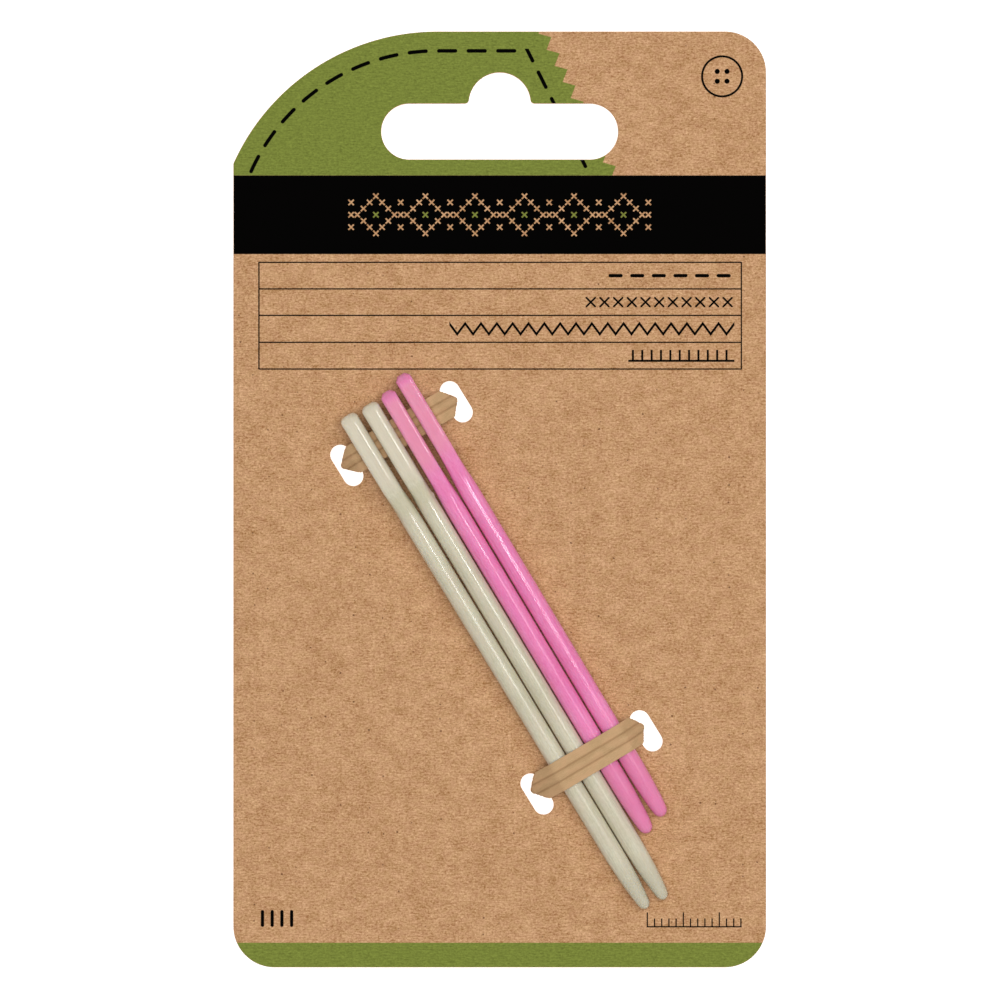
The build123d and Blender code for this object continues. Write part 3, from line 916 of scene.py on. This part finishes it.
def fillet_route(corners, radii, step=0.22, turn=7.0):
    """Points and headings along straight runs joined by tangent arcs."""
    pts = []
    here = Vector(corners[0])
    for i in range(1, len(corners) - 1):
        a, b, c = Vector(corners[i - 1]), Vector(corners[i]), Vector(corners[i + 1])
        d1, d2 = (b - a).normalized(), (c - b).normalized()
        ang = math.atan2(d1.x * d2.y - d1.y * d2.x, d1.dot(d2))
        r = radii[i - 1]
        cut = r * math.tan(abs(ang) / 2)
        p1, p2 = b - d1 * cut, b + d2 * cut
        n = max(1, int((p1 - here).length / step))
        for k in range(n):
            pts.append((here + (p1 - here) * (k / n), d1))
        sign = 1 if ang > 0 else -1
        centre = p1 + Vector((-d1.y, d1.x)) * (r * sign)
        m = max(2, int(math.degrees(abs(ang)) / turn))
        for k in range(m):
            t = ang * k / m
            cs, sn = math.cos(t), math.sin(t)
            off = p1 - centre
            pts.append((centre + Vector((off.x * cs - off.y * sn, off.x * sn + off.y * cs)),
                        Vector((d1.x * cs - d1.y * sn, d1.x * sn + d1.y * cs))))
        here = p2
    end = Vector(corners[-1])
    d = (end - here).normalized()
    n = max(1, int((end - here).length / step))
    for k in range(n + 1):
        pts.append((here + (end - here) * (k / n), d))
    return pts


def tie_route(spec):
    z = z_face + spec["z"]
    low = z_back - sheath_b - 0.02
    top = z_face + 0.25
    (ar, al), (hr, hl) = spec["a"], spec["h"]
    start = sheath_a + strand_gap / 2 + bend_r
    corners = [(start, twist_z), (start + 1.0, twist_z), (6.6, low), (hr, low), (hr, top), (ar, z),
               (-al, z), (-hl, top), (-hl, low), (-6.6, low), (-start - 1.0, twist_z), (-start, twist_z)]
    return corners, [2.0, 2.0, 0.62, 0.8, 1.2, 1.2, 0.8, 0.62, 2.0, 2.0]


across = sorted(set([round(x, 4) for x in np.linspace(-1, 1, 41)] + [-0.37, -0.34, -0.31, 0.31, 0.34, 0.37]))


def fold_side(points, spec, hand):
    """Paths of the strip from its middle to one side: rows of x, z and heading for
    every place across it. The wings turn down earlier than the ridge, along a V
    from the strip's corner to its tip. Headings count from level towards down."""
    xs = np.array([abs(p.x) for p, _ in points])
    zs = np.array([p.y for p, _ in points])
    run = np.concatenate([[0], np.cumsum(np.hypot(np.diff(xs), np.diff(zs)))])
    head = np.array([math.atan2(-d.y, abs(d.x)) if d.x * (1 if hand == 0 else -1) >= -1e-9 else math.pi - math.atan2(-d.y, abs(d.x))
                     for _, d in points])
    h, corner = spec["h"][hand], spec["corner"][hand]
    front = zs > z_back
    table = []
    for w in across:
        aw = abs(w)
        blunt = 1 - 0.13 * (aw / 0.3) ** 2 if aw < 0.3 else 0.87 * (1 - (aw - 0.3) / 0.7) ** 0.95
        fall = corner - strip_half + (h - corner + strip_half) * blunt
        r = 0.80 - 0.38 * aw
        slope = math.atan2(zs[0] - (z_face + 0.25), h - spec["a"][hand])
        x_turn = fall - r * (1 - math.sin(slope))
        k = int(np.argmax(xs >= x_turn)) if (xs >= x_turn).any() else len(xs) - 1
        ang = head.copy()
        if aw > 0.04:
            turned = head[k] + (run - run[k]) / r
            ang = np.where(run > run[k], np.maximum(np.minimum(head, math.pi / 2), turned), head)
        ang = np.minimum(ang, math.pi / 2)
        mid = (ang[1:] + ang[:-1]) / 2
        step = np.diff(run)
        x = xs[0] + np.concatenate([[0], np.cumsum(np.cos(mid) * step)])
        z = zs[0] - np.concatenate([[0], np.cumsum(np.sin(mid) * step)])
        table.append((x, z, ang, np.maximum(0.0, run - run[k])))
    below = int(np.argmax(zs < z_face + 0.30))
    gather = np.array([smoothstep((t - run[below]) / 2.5) for t in run])
    gather[:below] = 0.0
    return table, gather


def tie_stations(spec):
    """Stations of the strip from one cut end to the other: place, side, outward,
    share of gathering, and the folded paths where the strip is flat."""
    out = spec["out"]
    x1 = sheath_a + strand_gap / 2
    start = x1 + bend_r
    stations = []

    def twisted(hand, from_end):
        rows = []
        n = 110
        for i in range(n + 1):
            f = i / n
            phi = out * 2 * math.pi * twist_turns * f
            ax = Vector((math.cos(phi), 0, -math.sin(phi)))
            az = Vector((math.sin(phi), 0, math.cos(phi)))
            y = out * (bend_r + twist_len * f)
            rows.append((Vector((0, y, twist_z)) + ax * (hand * x1), ax * (hand * out), -az, 1.0, None))
        return rows[::-1] if from_end else rows

    stations += twisted(1, True)
    for i in range(1, 14):
        psi = math.pi / 2 * i / 14
        p = Vector((start - bend_r * math.cos(psi), out * bend_r - out * bend_r * math.sin(psi), twist_z))
        t = Vector((math.sin(psi), -out * math.cos(psi), 0))
        stations.append((p, t.cross(Vector((0, 0, -1))), Vector((0, 0, -1)), 1.0, None))
    corners, radii = tie_route(spec)
    route = fillet_route(corners, radii, 0.14, 6.0)
    top = [i for i, (p, _) in enumerate(route) if p.y > z_face + 0.5]
    i0 = min(top, key=lambda i: abs(route[i][0].x))
    right = [(p, -d) for p, d in route[i0::-1]]
    left = [(p, d) for p, d in route[i0:]]
    table_r, gather_r = fold_side(right, spec, 0)
    table_l, gather_l = fold_side(left, spec, 1)
    for i, (p, d) in enumerate(route):
        t = Vector((d.x, 0, d.y))
        side = Vector((0, 1, 0))
        normal = side.cross(t)
        normal = -normal if t.cross(normal).y < 0 else normal
        if i <= i0:
            k, table, gather, sign = i0 - i, table_r, gather_r, 1
        else:
            k, table, gather, sign = i - i0, table_l, gather_l, -1
        fold = [(sign * x[k], z[k], sign * math.sin(a[k]), math.cos(a[k]), past[k]) for x, z, a, past in table]
        stations.append((Vector((p.x, 0, p.y)), side, normal, float(gather[k]), fold))
    for i in range(1, 14):
        psi = math.pi / 2 * i / 14
        p = Vector((-start + bend_r * math.sin(psi), out * bend_r - out * bend_r * math.cos(psi), twist_z))
        t = Vector((math.cos(psi), out * math.sin(psi), 0))
        stations.append((p, t.cross(Vector((0, 0, -1))), Vector((0, 0, -1)), 1.0, None))
    stations += twisted(-1, False)
    return stations


def ply_points(station, w, j, outer, s, seed):
    """Outer and inner point of one ply at one place along and across the strip."""
    p, side, normal, g, fold = station
    sign = 1 if outer else -1
    half = strip_w / 2
    # flat strip: a ridge over the wire, creases beside it, thin wings
    y = half * w
    t = min(1.0, abs(y) / 0.66)
    out_h = strip_half + (sheath_b - strip_half) * (1 - t * t) ** 1.5 - 0.035 * math.exp(-((abs(y) - 0.69) / 0.07) ** 2)
    in_h = max(glue, math.sqrt(max(0.0, wire_channel ** 2 - y * y)) + (0.004 if abs(y) < wire_channel else 0.0))
    in_h = min(in_h, out_h - 0.004)
    # gathered round the wire
    a = w * math.pi / 2
    pleat = 1 - 0.07 * (0.5 + 0.5 * math.sin(11 * w + seed * 2 + s * 0.25)) * (1 - abs(math.cos(a)) ** 6)
    ey = 0.998 * sheath_a * math.sin(a) * pleat
    eh = max(0.016, sheath_b * math.cos(a) * (0.97 + 0.03 * math.cos(9 * w + seed)))
    iy = (sheath_a - 0.03) * w
    ih = max(glue, math.sqrt(max(0.0, (wire_channel + 0.004) ** 2 - iy * iy)))
    ih = min(ih, eh - 0.004)
    result = []
    for fh, gy, gh in ((out_h, ey, eh), (in_h, iy, ih)):
        round_point = p + side * gy + normal * (sign * gh)
        if fold is None or g >= 1.0:
            result.append(round_point)
            continue
        x, z, nx, nz, past = fold[j]
        curl = 0.03 * abs(w) ** 3 * math.sin(s * 0.5 + seed + (2 if w > 0 else 0))
        crumple = 0.05 * smoothstep(past / 1.2) * math.sin(7.5 * w + seed + past) * min(1.0, abs(w) * 2)
        h = sign * fh + curl + crumple
        flat_point = Vector((x + nx * h, y * (1 - 0.10 * min(past, 2.0)), z + nz * h))
        result.append(flat_point.lerp(round_point, g))
    return result


def build_ply(name, node, spec, outer, material):
    st = tie_stations(spec)
    s_run, pos = [0.0], st[0][0]
    for row in st[1:]:
        s_run.append(s_run[-1] + (row[0] - pos).length)
        pos = row[0]
    verts, faces, attr = [], [], []
    m = len(across)
    for row, s in zip(st, s_run):
        pairs = [ply_points(row, w, j, outer, s, spec["seed"]) for j, w in enumerate(across)]
        ring = [(q[0], w) for q, w in zip(pairs, across)] + [(q[1], w) for q, w in zip(pairs[::-1], across[::-1])]
        for v, w in ring:
            verts.append(tuple(v * MM))
            attr.append((s, w * strip_w / 2, row[3]))
    n = 2 * m
    for k in range(len(st) - 1):
        for i in range(n):
            j = (i + 1) % n
            faces.append((k * n + i, k * n + j, (k + 1) * n + j, (k + 1) * n + i))
    for base in (0, (len(st) - 1) * n):
        for i in range(m - 1):
            faces.append((base + i, base + i + 1, base + n - 2 - i, base + n - 1 - i))
    mesh = bpy.data.meshes.new(name)
    mesh.from_pydata(verts, [], faces)
    outward(mesh)
    layer = mesh.attributes.new("strip", "FLOAT_VECTOR", "POINT")
    layer.data.foreach_set("vector", np.array(attr, np.float32).ravel())
    for p in mesh.polygons:
        p.use_smooth = True
    mesh.set_sharp_from_angle(angle=math.radians(50))
    mesh.materials.append(material)
    o = bpy.data.objects.new(name, mesh)
    scene.collection.objects.link(o)
    x0, y0 = at(spec["s"], spec["t"])
    d = spec["drift"]
    k = math.hypot(1, d)
    ax = Vector(((vx + d * ux) / k, (vy + d * uy) / k, 0))
    az = Vector((0, 0, 1))
    ay = az.cross(ax)
    mat = Matrix((ax, ay, az)).transposed().to_4x4()
    mat.translation = Vector((x0, y0, 0)) * MM
    o.matrix_world = mat
    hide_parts(node)
    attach(o, "card")
    return o


paper = paper_material()
build_ply("tie_upper_front", "upper_tie_front_ply", upper_tie, True, paper)
build_ply("tie_upper_back", "upper_tie_back_ply", upper_tie, False, paper)
build_ply("tie_lower_front", "lower_tie_front_ply", lower_tie, True, paper)
build_ply("tie_lower_back", "lower_tie_back_ply", lower_tie, False, paper)

steel = steel_material()
for node in ("upper_tie_wire", "lower_tie_wire"):
    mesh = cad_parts[node].data
    mesh.materials.clear()
    mesh.materials.append(steel)

# ---- stage --------------------------------------------------------------------------------
floor_mesh = bpy.data.meshes.new("floor")
s = 3.0
floor_mesh.from_pydata([(-s, -s, -2e-5), (s, -s, -2e-5), (s, s, -2e-5), (-s, s, -2e-5)], [], [(0, 1, 2, 3)])
floor = bpy.data.objects.new("floor", floor_mesh)
scene.collection.objects.link(floor)
fm, ft, fs = new_material("floor_pale")
fs.inputs["Base Color"].default_value = (0.90, 0.90, 0.90, 1)
fs.inputs["Roughness"].default_value = 0.9
fs.inputs["Specular IOR Level"].default_value = 0.1
fs.inputs["Emission Color"].default_value = (1, 1, 1, 1)
fs.inputs["Emission Strength"].default_value = 0.70
floor_mesh.materials.append(fm)

bpy.context.view_layer.update()
